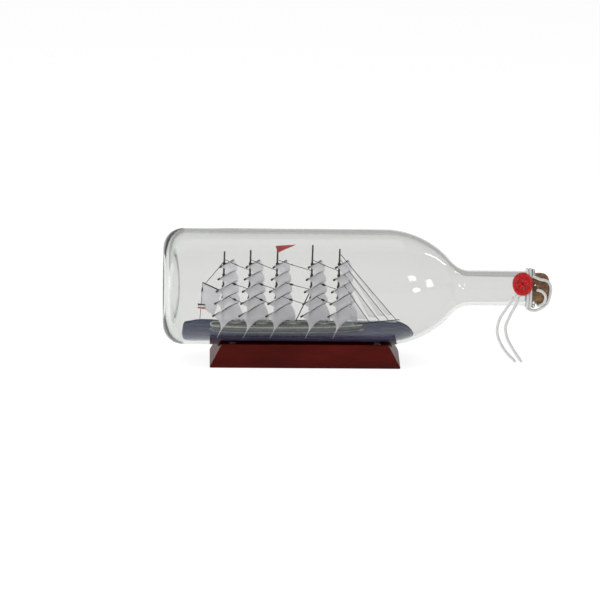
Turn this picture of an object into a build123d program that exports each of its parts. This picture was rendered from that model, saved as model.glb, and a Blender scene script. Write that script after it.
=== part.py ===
from build123d import *
from math import atan2, cos, degrees, radians, sin, sqrt, tan
import os

# Ship in a bottle, in millimetres. +Z is up, +X runs towards the bottle's mouth and the ship's bow, and
# the front is -Y. The origin is the centre of the stand's underside. The bottle's axis is parallel to X,
# and heights given "above the axis" are measured from it.

# Stand
stand_length = 148.4
stand_depth = 56.0
stand_height = 18.0
stand_end_inset = 9.8
stand_side_inset = 4.0
stand_edge = 0.8

# Clear pads between the stand and the glass
pad_r = 2.5
pad_thickness = 1.4
pad_x = 56.0
pad_angle = 18.0

# Bottle
axis_z = 58.2
body_r = 45.0
wall = 2.6
base_x = -110.2
base_thickness = 4.4
heel_r = 15.5
punt_r = 27.0
punt_depth = 7.0
punt_waist = 0.7
shoulder_x = 60.0
shoulder_r = 70.0
throat_r = 18.0
neck_r = 13.5
bore_r = 10.6
lip_x = 175.2
lip_r = 15.2
lip_edge = 1.0
mouth_x = 177.7

# Cork
cork_inner_x = 171.5
cork_outer_x = 188.8
cork_r = 12.0
cork_edge = 6.0
cork_clearance = 0.08

# Cord, its wax seal and the two loose ends
cord_r = 1.1
turn_gap = 0.05
cord_gap = 0.15
seal_x = 167.5
seal_angle = 25.0
seal_width = 16.3
seal_height = 18.4
seal_back = 15.2
seal_front = 19.0
seal_edge = 0.9
tail_y = -14.75

# How far a cutting shape runs past the surface it cuts
spare = 1.0

# Sea
sea_level = -34.2
sea_aft_x = -98.2
sea_fore_x = 86.0
sea_slope_x = 73.0
sea_slope_drop = 3.4
sea_half_width = 26.0
sea_aft_corner = 21.0
sea_fore_corner = 5.0
glass_gap = 0.05

# Hull. ship_plan gives the outline's points as shares of the length and of the half beam.
ship_plan = [(0.0, 0.62), (0.12, 0.92), (0.50, 1.0), (0.80, 0.74), (1.0, 0.02)]
stern_round = 0.22
stern_x = -71.6
bow_x = 44.6
half_beam = 9.2
rail_top = -30.0
rail_width = 0.8
rail_height = 1.0
deck_thickness = 0.3
hull_draught = 3.8
pocket_gap = 0.1
keel_beam = 0.72
keel_insets = (4.0, 5.5)
waterline_beam = 0.93
waterline_insets = (1.0, 2.2)

# Deck houses and hatches: centre x, length, width and height of each.
house_corner = 0.8
house_sizes = [
    (-54.0, 9.0, 6.0, 1.6),
    (-33.5, 9.0, 6.5, 1.4),
    (-9.5, 12.0, 7.0, 1.8),
    (14.5, 9.0, 6.5, 1.5),
    (33.0, 6.0, 4.5, 1.3),
]

# Bowsprit: x and height above the axis of its two ends
bowsprit_heel = (38.0, -29.7)
bowsprit_tip = (73.3, -26.0)
bowsprit_heel_r = 0.6
bowsprit_tip_r = 0.4

# Rig. Masts lean forward by mast_lean, and yards are braced round by brace_angle, far end forward.
mast_lean = 1.3
mast_foot_r = 1.0
mast_head_r = 0.65
brace_angle = 24.0
yard_r = 0.5
yard_tip_r = 0.4
yard_ahead = 2.2
knot_r = 0.8
knot_length = 3.2
truss_r = 0.35
thread_r = 0.08
backstay_r = 0.15
mast_feet = {"fore": 25.0, "main": 4.0, "middle": -23.0, "mizzen": -43.8, "jigger": -64.0}
mast_heads = {"fore": 30.0, "main": 33.0, "middle": 32.2, "mizzen": 28.8, "jigger": 27.6}
tier_names = ["course", "lower_topsail", "upper_topsail", "topgallant", "royal"]
tier_heights = [-18.0, -9.0, 0.0, 9.0, 18.0]
tier_lengths = [48.0, 42.0, 37.0, 31.0, 25.0]

# Square sails: shares of the yards' lengths, how far they belly out, and how hollow their edges are.
# The courses, the lowest sails, are larger and more curved than the rest.
paper = 0.2
sail_below_yard = 0.35
sail_ahead = 0.9
head_share = 0.46
foot_share = 0.45
sail_bulge = 4.8
sail_foot_ahead = 2.4
sail_arch = 0.8
sail_hollow = 2.4
foot_gap = 0.9
course_foot = -33.6
clew_spread = 24.5
course_bulge = 6.3
course_foot_ahead = 3.9
course_arch = 6.4
course_hollow = 2.6
deepest = 0.55

# Gaff, spanker and flags: x and height above the axis
gaff_throat = (-64.9, -4.0)
gaff_peak = (-79.2, 2.7)
gaff_throat_r = 0.62
gaff_peak_r = 0.5
spanker_corners = [(-78.9, 1.6), (-65.4, -4.9), (-70.3, -23.6), (-80.4, -16.6)]
pennant_foot = 26.8
pennant_head = 32.2
pennant_tip = 33.6
pennant_slant = 1.8
pennant_length = 14.2
pennant_y = -0.9
ensign_line_x = -81.8
ensign_corners = [(-83.2, -13.8), (-77.4, -14.4), (-77.5, -18.4), (-83.3, -17.8)]
ensign_y = -0.35

# Each jib stay runs from the fore mast down to the bowsprit: height on the mast and x on the bowsprit.
jib_names = ["inner_jib", "main_jib", "outer_jib", "flying_jib"]
jib_stays = [(6.5, 49.8), (14.4, 57.7), (21.5, 64.7), (25.8, 70.6)]
jib_widths = [13.0, 6.4, 5.8, 4.8]
jib_peaks = [0.62, 0.72, 0.78, 0.80]
jib_aft = 0.45
jib_low = 0.07
jib_rise = 0.12
stay_hole_r = 0.2

# Stays from each mast down to the next one forward: height aft and height forward. The peak halyard
# runs from the jigger mast to the gaff, and the backstay from the rail to the main mast.
mast_order = ["jigger", "mizzen", "middle", "main", "fore"]
mast_stays = [(21.0, 13.0), (5.0, -2.0), (-6.5, -15.0)]
hoist_height = 19.0
hoist_end = (-76.6, 1.95)
backstay_height = -1.6
backstay_x = -7.0

os.makedirs("parts", exist_ok=True)

bottle_axis = Axis((0, 0, axis_z), (1, 0, 0))
side_plane = Plane(origin=(0, 0, axis_z), x_dir=(1, 0, 0), z_dir=(0, -1, 0))


def save(piece, label):
    piece.part.label = label
    export_step(piece.part, f"parts/{label}.step")


def above_axis(height):
    """The horizontal plane at a height above the bottle's axis."""
    return Plane.XY.offset(axis_z + height)


def across(x):
    """The plane square to the bottle's axis at x, with its local x to the front and local y up."""
    return Plane(origin=(x, 0, axis_z), x_dir=(0, -1, 0), z_dir=(-1, 0, 0))


def around(x, angle, radius):
    """A point at a radius from the bottle's axis, at an angle above the front."""
    return (x, -radius * cos(radians(angle)), axis_z + radius * sin(radians(angle)))


# ---------------------------------------------------------------- stand

groove_r = body_r + pad_thickness

with BuildPart() as stand:
    with BuildSketch(Plane.XY):
        Rectangle(stand_length, stand_depth)
    with BuildSketch(Plane.XY.offset(stand_height)):
        Rectangle(stand_length - 2 * stand_end_inset, stand_depth - 2 * stand_side_inset)
    loft()
    fillet(stand.edges(), stand_edge)
    with BuildSketch(Plane.YZ):
        with Locations((0, axis_z)):
            Circle(groove_r)
    extrude(amount=stand_length, both=True, mode=Mode.SUBTRACT)
save(stand, "stand")

with BuildPart() as bumper_pads:
    for side in (-1, 1):
        tilt = radians(side * pad_angle)
        outward = (0, sin(tilt), -cos(tilt))
        for end in (-1, 1):
            with BuildSketch(Plane(origin=(end * pad_x, 0, axis_z), x_dir=(1, 0, 0), z_dir=outward)):
                Circle(pad_r)
            extrude(amount=groove_r + pad_r)
    with BuildSketch(Plane.YZ):
        with Locations((0, axis_z)):
            Circle(groove_r - turn_gap)
            Circle(body_r + turn_gap, mode=Mode.SUBTRACT)
    extrude(amount=stand_length, both=True, mode=Mode.INTERSECT)
save(bumper_pads, "bumper_pads")

# ---------------------------------------------------------------- bottle

shoulder_drop = body_r - shoulder_r
throat_rise = neck_r + throat_r
throat_x = shoulder_x + sqrt((shoulder_r + throat_r) ** 2 - (throat_rise - shoulder_drop) ** 2)
shoulder_end = degrees(atan2(throat_rise - shoulder_drop, throat_x - shoulder_x))
inner_r = body_r - wall
inner_base_x = base_x + base_thickness
inner_heel_r = heel_r - wall

with BuildPart() as bottle:
    with BuildSketch(side_plane):
        with BuildLine():
            # Outside, from the punt's top to the mouth
            punt = Spline(
                (base_x + punt_depth, 0),
                (base_x + punt_depth * 0.6, punt_r * punt_waist),
                (base_x, punt_r),
                tangents=[(0, 1), (-0.2, 1)],
            )
            Line(punt @ 1, (base_x, body_r - heel_r))
            CenterArc((base_x + heel_r, body_r - heel_r), heel_r, 180, -90)
            Line((base_x + heel_r, body_r), (shoulder_x, body_r))
            shoulder = CenterArc((shoulder_x, shoulder_drop), shoulder_r, 90, shoulder_end - 90)
            throat = CenterArc((throat_x, throat_rise), throat_r, 180 + shoulder_end, 90 - shoulder_end)
            Polyline(throat @ 1, (lip_x, neck_r), (lip_x, lip_r - lip_edge))
            CenterArc((lip_x + lip_edge, lip_r - lip_edge), lip_edge, 180, -90)
            Line((lip_x + lip_edge, lip_r), (mouth_x - lip_edge, lip_r))
            CenterArc((mouth_x - lip_edge, lip_r - lip_edge), lip_edge, 90, -90)
            Line((mouth_x, lip_r - lip_edge), (mouth_x, bore_r))
            # Inside, back to the base
            Line((mouth_x, bore_r), (cork_inner_x, bore_r))
            inner_throat = CenterArc(
                (throat_x, throat_rise), throat_r + wall, 180 + shoulder_end, 90 - shoulder_end
            )
            Line((cork_inner_x, bore_r), inner_throat @ 1)
            CenterArc((shoulder_x, shoulder_drop), shoulder_r - wall, 90, shoulder_end - 90)
            Line((shoulder_x, inner_r), (inner_base_x + inner_heel_r, inner_r))
            CenterArc((inner_base_x + inner_heel_r, inner_r - inner_heel_r), inner_heel_r, 180, -90)
            inner_punt = Spline(
                (inner_base_x + punt_depth * 0.7, 0),
                (inner_base_x + punt_depth * 0.4, punt_r * punt_waist),
                (inner_base_x, inner_r - inner_heel_r),
                tangents=[(0, 1), (0, 1)],
            )
            Line(inner_punt @ 0, punt @ 0)
        make_face()
    revolve(axis=bottle_axis)
save(bottle, "bottle")

# ---------------------------------------------------------------- cork, cord and seal

with BuildPart() as cork:
    with BuildSketch(across(cork_inner_x)):
        Circle(bore_r - cork_clearance)
    extrude(amount=-(mouth_x + cork_clearance - cork_inner_x))
    with BuildSketch(across(mouth_x + cork_clearance)):
        Circle(cork_r)
    extrude(amount=-(cork_outer_x - mouth_x - cork_clearance))
    fillet(cork.edges().filter_by(GeomType.CIRCLE).group_by(Axis.X)[-1], cork_edge)
save(cork, "cork")

turn_r = neck_r + cord_r + turn_gap
turn_xs = [lip_x - cord_r - turn_gap - turn * (2 * cord_r + turn_gap) for turn in range(2)]
over_turns = turn_r + 2 * cord_r + cord_gap
over_lip = lip_r + cord_r + cord_gap
over_cork = cork_r + cord_r + cord_gap

# The first loop runs from the top front of the neck, round the cork's end, and hangs below the neck.
first_loop_path = [
    around(175.4, 47, over_turns),
    around(178.6, 43, over_lip - 0.3),
    around(181.6, 43, over_cork + 0.5),
    around(184.8, 42, over_cork),
    around(187.9, 37, 11.4),
    around(189.6, 15, 8.9),
    around(188.8, -26, 10.5),
    around(187.1, -56, 12.6),
    around(184.0, -75, 14.6),
    around(181.4, -82, 16.3),
    around(177.6, -88, 17.6),
    around(173.4, -100, 17.6),
    around(171.2, -116, over_turns),
]
# The second starts at the wax seal, crosses the cork inside the first and ends behind the neck.
second_loop_path = [
    around(178.9, 9, over_lip - 0.2),
    around(181.4, 6, over_cork + 0.6),
    around(184.0, -2, over_cork + 0.1),
    around(185.6, -18, 12.8),
    around(184.8, -40, over_cork),
    around(182.0, -64, over_cork + 0.1),
    around(180.6, -96, over_cork + 0.2),
    around(180.6, -130, over_cork + 0.5),
    around(178.4, -146, over_lip),
    around(175.2, -151, over_turns),
    around(172.6, -152, over_turns),
]


def cord_along(points):
    """The round cord, laid along a smooth path."""
    with BuildPart() as cord:
        with BuildLine() as path:
            Spline(*points)
        with BuildSketch(Plane(origin=path.line @ 0, z_dir=path.line % 0)):
            Circle(cord_r)
        sweep()
    return cord.part


# Under the seal the two ends of the cord lead forward from the turns to the loose ends.
lead_r = neck_r + cord_r + cork_clearance
lead_foot_z = axis_z - 3.1
left_lead_path = [
    (161.1, tail_y, lead_foot_z),
    around(163.6, 0, lead_r),
    around(166.8, 9, lead_r),
    around(169.4, 14, lead_r),
]
right_lead_path = [
    (165.4, tail_y, lead_foot_z),
    around(167.1, -3, lead_r),
    around(169.4, 4, lead_r),
]

with BuildPart() as neck_cord_turns:
    for turn_x in turn_xs:
        with BuildSketch(side_plane):
            with Locations((turn_x, turn_r)):
                Circle(cord_r)
        revolve(axis=bottle_axis)
    add(cord_along(left_lead_path))
    add(cord_along(right_lead_path))
save(neck_cord_turns, "neck_cord_turns")

with BuildPart() as cork_cord_loops:
    add(cord_along(first_loop_path))
    add(cord_along(second_loop_path))
save(cork_cord_loops, "cork_cord_loops")

seal_out = (0, -cos(radians(seal_angle)), sin(radians(seal_angle)))
seal_plane = Plane(origin=(seal_x, 0, axis_z), x_dir=(1, 0, 0), z_dir=seal_out)

with BuildPart() as wax_seal:
    with BuildSketch(seal_plane.offset(seal_back)):
        Ellipse(seal_width / 2, seal_height / 2)
    extrude(amount=seal_front - seal_back)
    front_rim = wax_seal.faces().sort_by(Axis((0, 0, 0), seal_out))[-1].edges()
    fillet(front_rim, seal_edge)
    with BuildSketch(across(lip_x - turn_gap)):
        Circle(turn_r + cord_r + turn_gap)
    extrude(amount=seal_width, mode=Mode.SUBTRACT)
    with BuildSketch(across(lip_x - turn_gap)):
        Circle(lip_r + turn_gap)
    extrude(amount=-seal_width, mode=Mode.SUBTRACT)
save(wax_seal, "wax_seal")

# Each loose end hangs in a plane just in front of the neck, in a gentle S. Points are x and height above
# the axis.
tail_paths = {
    "cord_tail_left": [
        (160.3, -4.1),
        (157.4, -9.5),
        (150.4, -20.6),
        (148.4, -31.0),
        (151.2, -40.2),
        (156.2, -48.0),
        (162.7, -54.8),
    ],
    "cord_tail_right": [
        (164.6, -4.1),
        (162.4, -10.2),
        (158.0, -18.7),
        (154.9, -27.8),
        (156.7, -37.1),
        (161.5, -45.9),
        (167.4, -54.7),
    ],
}
for tail_name, tail_points in tail_paths.items():
    with BuildPart() as cord_tail:
        add(cord_along([(x, tail_y, axis_z + height) for x, height in tail_points]))
        top_x, top_height = tail_points[0]
        with Locations((top_x, tail_y, axis_z + top_height)):
            Sphere(cord_r)
    save(cord_tail, tail_name)

# ---------------------------------------------------------------- sea


def ship_outline(beam, aft_x, fore_x):
    """A ship's plan: full amidships, rounded at the stern and fine at the bow."""
    length = fore_x - aft_x
    port = [(aft_x + along * length, out * beam) for along, out in ship_plan]
    starboard = [(x, -y) for x, y in port]
    with BuildSketch() as outline:
        with BuildLine():
            Spline(*port)
            Spline(*starboard)
            ThreePointArc(port[0], (aft_x - stern_round * beam, 0), starboard[0])
            Line(port[-1], starboard[-1])
        make_face()
    return outline.sketch


hull_bottom = sea_level - hull_draught
sea_floor = -inner_r
sea_depth = sea_level - sea_floor

with BuildPart() as sea:
    with BuildSketch(side_plane):
        with BuildLine():
            heel_centre_x = inner_base_x + inner_heel_r
            CenterArc((heel_centre_x, inner_r - inner_heel_r), inner_heel_r - glass_gap, 180, -90)
            Line((heel_centre_x, inner_r - glass_gap), (shoulder_x, inner_r - glass_gap))
            far_shoulder = CenterArc(
                (shoulder_x, shoulder_drop), shoulder_r - wall - glass_gap, 90, shoulder_end - 90
            )
            Polyline(
                far_shoulder @ 1,
                ((far_shoulder @ 1).X, 0),
                (inner_base_x + glass_gap, 0),
                (inner_base_x + glass_gap, inner_r - inner_heel_r),
            )
        make_face()
    revolve(axis=bottle_axis)
    with BuildSketch(above_axis(sea_floor)):
        with Locations(((sea_aft_x + sea_fore_x) / 2, 0)):
            Rectangle(sea_fore_x - sea_aft_x, 2 * sea_half_width)
        fillet(vertices().group_by(Axis.X)[0], sea_aft_corner)
        fillet(vertices().group_by(Axis.X)[-1], sea_fore_corner)
    extrude(amount=sea_depth, mode=Mode.INTERSECT)
    with BuildSketch(side_plane):
        with BuildLine():
            Polyline(
                (sea_slope_x, sea_level),
                (sea_fore_x, sea_level - sea_slope_drop),
                (sea_fore_x + spare, sea_level + spare),
                (sea_slope_x, sea_level + spare),
                close=True,
            )
        make_face()
    extrude(amount=2 * sea_half_width, both=True, mode=Mode.SUBTRACT)
    with BuildSketch(above_axis(hull_bottom - pocket_gap)):
        add(ship_outline(half_beam + pocket_gap, stern_x - pocket_gap, bow_x + 2 * pocket_gap))
    extrude(amount=hull_draught + spare, mode=Mode.SUBTRACT)
save(sea, "sea")

# ---------------------------------------------------------------- hull

deck_level = rail_top - rail_height

with BuildPart() as hull:
    with BuildSketch(above_axis(hull_bottom)):
        aft_inset, fore_inset = keel_insets
        add(ship_outline(half_beam * keel_beam, stern_x + aft_inset, bow_x - fore_inset))
    with BuildSketch(above_axis(sea_level)):
        aft_inset, fore_inset = waterline_insets
        add(ship_outline(half_beam * waterline_beam, stern_x + aft_inset, bow_x - fore_inset))
    with BuildSketch(above_axis(deck_level)):
        add(ship_outline(half_beam, stern_x, bow_x))
    loft(ruled=True)
save(hull, "hull")

with BuildPart() as rail:
    with BuildSketch(above_axis(deck_level)):
        add(ship_outline(half_beam, stern_x, bow_x))
        inside = ship_outline(half_beam - rail_width, stern_x + rail_width, bow_x - 3 * rail_width)
        add(inside, mode=Mode.SUBTRACT)
    extrude(amount=rail_height)
save(rail, "rail")

with BuildPart() as deck:
    with BuildSketch(above_axis(deck_level)):
        inset = rail_width + pocket_gap
        add(ship_outline(half_beam - inset, stern_x + inset, bow_x - 3 * inset))
    extrude(amount=deck_thickness)
save(deck, "deck")

deck_top = deck_level + deck_thickness

with BuildPart() as deck_houses:
    for house_x, house_length, house_width, house_height in house_sizes:
        with BuildSketch(above_axis(deck_top)):
            with Locations((house_x, 0)):
                RectangleRounded(house_length, house_width, house_corner)
        extrude(amount=house_height)
save(deck_houses, "deck_houses")


def rod(start, end, start_r, end_r):
    """A straight tapered rod between two points."""
    run = Vector(*end) - Vector(*start)
    foot = Plane(origin=start, z_dir=run)
    with BuildPart() as made:
        with BuildSketch(foot):
            Circle(start_r)
        with BuildSketch(foot.offset(run.length)):
            Circle(end_r)
        loft()
    return made.part


def midship(x, height):
    """A point in the ship's centre plane, at a height above the bottle's axis."""
    return (x, 0, axis_z + height)


with BuildPart() as bowsprit:
    add(rod(midship(*bowsprit_heel), midship(*bowsprit_tip), bowsprit_heel_r, bowsprit_tip_r))
save(bowsprit, "bowsprit")

# ---------------------------------------------------------------- masts, yards and square sails

yard_along = Vector(sin(radians(brace_angle)), cos(radians(brace_angle)), 0)
sail_forward = Vector(cos(radians(brace_angle)), -sin(radians(brace_angle)), 0)


def mast_x(mast, height):
    """The x of a mast's centreline at a height above the bottle's axis."""
    return mast_feet[mast] + (height - deck_top) * tan(radians(mast_lean))


def mast_r(mast, height):
    """A mast's radius at a height above the bottle's axis."""
    fraction = (height - deck_top) / (mast_heads[mast] - deck_top)
    return mast_foot_r + (mast_head_r - mast_foot_r) * fraction


def bowsprit_top(x):
    """The height of the bowsprit's upper side at x."""
    (heel_x, heel_height), (tip_x, tip_height) = bowsprit_heel, bowsprit_tip
    fraction = (x - heel_x) / (tip_x - heel_x)
    radius = bowsprit_heel_r + fraction * (bowsprit_tip_r - bowsprit_heel_r)
    return heel_height + fraction * (tip_height - heel_height) + radius


def stay_ends(mast_height, foot_x):
    """The two ends of a jib stay, as x and height above the axis."""
    head = (mast_x("fore", mast_height) + mast_r("fore", mast_height), mast_height)
    return head, (foot_x, bowsprit_top(foot_x))


def yard_centre(mast, height):
    """The middle of a yard, just ahead of its mast."""
    return Vector(*midship(mast_x(mast, height), height)) + sail_forward * yard_ahead


def square_sail(mast, tier):
    """A sheet bent round an arc between two yards, with hollow sides and an arched foot."""
    is_course = tier == 0
    head = tier_heights[tier] - sail_below_yard
    foot = course_foot if is_course else tier_heights[tier - 1] + foot_gap
    drop = head - foot
    head_half = head_share * tier_lengths[tier]
    foot_half = clew_spread if is_course else foot_share * tier_lengths[tier - 1]
    bulge = course_bulge if is_course else sail_bulge
    foot_ahead = course_foot_ahead if is_course else sail_foot_ahead
    arch = course_arch if is_course else sail_arch
    hollow = course_hollow if is_course else sail_hollow
    middle_half = (head_half + foot_half) / 2 - hollow
    head_middle = yard_centre(mast, tier_heights[tier]) - Vector(0, 0, sail_below_yard)
    section_plane = Plane(origin=head_middle, x_dir=sail_forward, z_dir=yard_along * -1)
    face_plane = Plane(origin=head_middle, x_dir=yard_along, z_dir=sail_forward)
    with BuildPart() as sail:
        with BuildSketch(section_plane):
            with BuildLine():
                front = ThreePointArc((sail_ahead, 0), (bulge, -deepest * drop), (foot_ahead, -drop))
                back = ThreePointArc(
                    (sail_ahead - paper, 0), (bulge - paper, -deepest * drop), (foot_ahead - paper, -drop)
                )
                Line(front @ 0, back @ 0)
                Line(front @ 1, back @ 1)
            make_face()
        extrude(amount=foot_half + spare, both=True)
        with BuildSketch(face_plane):
            with BuildLine():
                right = ThreePointArc((head_half, spare), (middle_half, -drop / 2), (foot_half, -drop))
                left = ThreePointArc((-head_half, spare), (-middle_half, -drop / 2), (-foot_half, -drop))
                Line(right @ 0, left @ 0)
                ThreePointArc(right @ 1, (0, -drop + arch), left @ 1)
            make_face()
        extrude(amount=2 * bulge, both=True, mode=Mode.INTERSECT)
        if mast == "fore":
            # The jib stays pass through holes in the fore mast's sails
            for stay in jib_stays:
                stay_head, stay_foot = stay_ends(*stay)
                hole = rod(midship(*stay_head), midship(*stay_foot), stay_hole_r, stay_hole_r)
                add(hole, mode=Mode.SUBTRACT)
    save(sail, f"{mast}_{tier_names[tier]}")


for mast in mast_feet:
    mast_head = mast_heads[mast]
    with BuildPart() as mast_pole:
        foot_point = midship(mast_feet[mast], deck_top + glass_gap)
        head_point = midship(mast_x(mast, mast_head), mast_head)
        add(rod(foot_point, head_point, mast_foot_r, mast_head_r))
    save(mast_pole, f"{mast}_mast")

    # Each yard tapers from its middle to its tips, where the thread is knotted round it
    with BuildPart() as yards:
        for height, length in zip(tier_heights, tier_lengths):
            centre = yard_centre(mast, height)
            for side in (-1, 1):
                tip = centre + yard_along * (side * length / 2)
                knot = tip - yard_along * (side * knot_length)
                add(rod(tuple(centre), tuple(tip), yard_r, yard_tip_r))
                add(rod(tuple(knot), tuple(tip), knot_r, knot_r))
            # The truss that holds the yard off the mast
            mast_face = Vector(*midship(mast_x(mast, height), height))
            mast_face += sail_forward * (mast_r(mast, height) + glass_gap)
            add(rod(tuple(mast_face), tuple(centre), truss_r, truss_r))
    save(yards, f"{mast}_yards")

    for tier in range(len(tier_names)):
        square_sail(mast, tier)

# ---------------------------------------------------------------- fore-and-aft sails and gaff


def flat_sheet(points, y=0.0):
    """A thin sheet parallel to the ship's centre plane. Points are x and height above the axis."""
    with BuildPart() as sheet:
        with BuildSketch(side_plane.offset(-y)):
            with BuildLine():
                Polyline(*points, close=True)
            make_face()
        extrude(amount=paper / 2, both=True)
    return sheet.part


with BuildPart() as gaff:
    add(rod(midship(*gaff_throat), midship(*gaff_peak), gaff_throat_r, gaff_peak_r))
save(gaff, "gaff")

with BuildPart() as spanker_sail:
    add(flat_sheet(spanker_corners))
save(spanker_sail, "spanker_sail")


for name, stay, width, peak_share in zip(jib_names, jib_stays, jib_widths, jib_peaks):
    (head_x, head_height), (tack_x, tack_height) = stay_ends(*stay)
    run = (head_x - tack_x, head_height - tack_height)
    tack = (tack_x + jib_low * run[0] - jib_aft, tack_height + jib_low * run[1])
    peak = (tack_x + peak_share * run[0] - jib_aft, tack_height + peak_share * run[1])
    clew = (tack_x + jib_low * run[0] - width, tack[1] + jib_rise * width)
    with BuildPart() as jib:
        add(flat_sheet([tack, peak, clew]))
    save(jib, name)

# ---------------------------------------------------------------- flags

# The pennant is stuck to the front of the middle mast's head
with BuildPart() as pennant:
    hoist_x = mast_x("middle", pennant_head)
    hoist_foot = (hoist_x, pennant_foot)
    hoist_head = (hoist_x - pennant_slant, pennant_head)
    fly = (hoist_x + pennant_length, pennant_tip)
    add(flat_sheet([hoist_foot, hoist_head, fly], y=pennant_y))
save(pennant, "pennant")

with BuildPart() as ensign:
    add(flat_sheet(ensign_corners, y=ensign_y))
save(ensign, "ensign")

# ---------------------------------------------------------------- threads


def thread(start, end, radius=thread_r):
    """A taut thread between two points of the ship's centre plane."""
    return rod(midship(*start), midship(*end), radius, radius)


with BuildPart() as stay_threads:
    for aft_mast, fore_mast in zip(mast_order, mast_order[1:]):
        for aft_height, fore_height in mast_stays:
            start_x = mast_x(aft_mast, aft_height) + mast_r(aft_mast, aft_height)
            end_x = mast_x(fore_mast, fore_height) - mast_r(fore_mast, fore_height)
            add(thread((start_x, aft_height), (end_x, fore_height)))
    for stay in jib_stays:
        add(thread(*stay_ends(*stay)))
save(stay_threads, "stay_threads")

with BuildPart() as halyard_threads:
    # Peak halyard, from the jigger mast to the gaff
    hoist_start_x = mast_x("jigger", hoist_height) - mast_r("jigger", hoist_height)
    add(thread((hoist_start_x, hoist_height), hoist_end))
    # Ensign halyard, from the gaff's peak down to the sea
    ensign_line_top = (gaff_peak[0] - thread_r, gaff_peak[1] - gaff_peak_r - thread_r)
    add(thread(ensign_line_top, (ensign_line_x, sea_level)))
    # Backstay from the far rail to the main mast
    main_x = mast_x("main", backstay_height) - mast_r("main", backstay_height)
    backstay_foot = (backstay_x, half_beam - rail_width / 2 - pocket_gap, axis_z + rail_top)
    add(rod(backstay_foot, midship(main_x, backstay_height), backstay_r, backstay_r))
save(halyard_threads, "halyard_threads")
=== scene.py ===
import math
import random

import bmesh
import bpy
import numpy as np
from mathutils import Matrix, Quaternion, Vector, noise


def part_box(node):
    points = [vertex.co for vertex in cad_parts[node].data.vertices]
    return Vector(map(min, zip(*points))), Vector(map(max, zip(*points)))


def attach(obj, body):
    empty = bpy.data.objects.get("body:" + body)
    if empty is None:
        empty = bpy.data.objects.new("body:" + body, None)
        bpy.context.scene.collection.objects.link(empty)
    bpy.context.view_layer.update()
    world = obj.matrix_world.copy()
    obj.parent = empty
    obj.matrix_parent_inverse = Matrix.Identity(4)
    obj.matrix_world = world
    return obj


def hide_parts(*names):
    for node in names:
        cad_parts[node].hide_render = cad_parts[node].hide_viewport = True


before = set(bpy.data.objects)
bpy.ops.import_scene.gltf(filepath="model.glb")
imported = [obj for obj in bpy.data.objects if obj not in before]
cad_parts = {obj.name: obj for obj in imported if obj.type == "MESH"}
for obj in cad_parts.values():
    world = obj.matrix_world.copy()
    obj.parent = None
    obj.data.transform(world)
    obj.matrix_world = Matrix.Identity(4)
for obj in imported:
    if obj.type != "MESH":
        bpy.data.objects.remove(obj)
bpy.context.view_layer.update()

# A ship in a bottle. Shapes are worked out in millimetres and turned into metres when a mesh is made.
# +X runs towards the bottle's mouth and the ship's bow, -Y is the front and +Z is up. Heights called h
# are measured from the bottle's axis, and angles round the axis from the front, upwards.

MM = 0.001
dice = random.Random(11)


def node_box(node):
    """A CAD node's lowest and highest corners, in millimetres."""
    low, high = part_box(node)
    return low / MM, high / MM


# ---- dimensions

# Bottle
bottle_low, bottle_high = node_box("bottle")
axis_z = (bottle_low.z + bottle_high.z) / 2
body_r = (bottle_high.z - bottle_low.z) / 2
base_x = bottle_low.x
mouth_x = bottle_high.x
wall = 2.6
base_thickness = 4.4
heel_r = 15.5
punt_r = 27.0
punt_depth = 7.0
shoulder_x = 60.0
shoulder_r = 70.0
throat_r = 18.0
neck_r = 13.5
bore_r = 10.6
lip_x = 175.2
lip_r = 15.2
lip_edge = 1.0
inner_r = body_r - wall
inner_base_x = base_x + base_thickness
inner_heel_r = heel_r - wall
shoulder_drop = body_r - shoulder_r
throat_rise = neck_r + throat_r
throat_x = shoulder_x + math.sqrt((shoulder_r + throat_r) ** 2 - (throat_rise - shoulder_drop) ** 2)
shoulder_end = math.degrees(math.atan2(throat_rise - shoulder_drop, throat_x - shoulder_x))

# Cork, cord and seal
cork_low, cork_high = node_box("cork")
cork_r = (cork_high.z - cork_low.z) / 2
cord_r = 1.1
rope_r = 1.2
seal_x = 167.5
seal_angle = 25.0
seal_half_width = 8.15
seal_half_height = 9.2
seal_back = 15.3
seal_front = 18.9

# Sea
sea_low, sea_high = node_box("sea")
sea_level = sea_high.z - axis_z
sea_slope_x = 73.0
sea_slope_drop = 3.4
sea_aft_corner = 21.0
sea_fore_corner = 5.0
sea_half_width = 26.0
putty_gap = 0.12

# Ship
rail_low, rail_high = node_box("rail")
half_beam = (rail_high.y - rail_low.y) / 2
stern_x = rail_low.x + 0.22 * half_beam
bow_x = rail_high.x
rail_top = rail_high.z
deck_top = node_box("deck")[1].z
mast_names = ["fore", "main", "middle", "mizzen", "jigger"]
mast_foot_r = 1.0
mast_head_r = 0.65
yard_r = 0.5
tier_names = ["course", "lower_topsail", "upper_topsail", "topgallant", "royal"]
tier_lengths = [48.0, 42.0, 37.0, 31.0, 25.0]
tier_rise = 9.0
brace_angle = math.radians(24.0)
yard_along = Vector((math.sin(brace_angle), math.cos(brace_angle), 0))
sail_forward = Vector((math.cos(brace_angle), -math.sin(brace_angle), 0))
sail_thickness = 0.16
thin_sail_thickness = 0.14
flag_thickness = 0.16
pennant_slant = 1.8
thread_r = 0.27


# ---- mesh helpers


def add_object(name, data):
    made = bpy.data.objects.new(name, data)
    bpy.context.scene.collection.objects.link(made)
    return made


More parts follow.
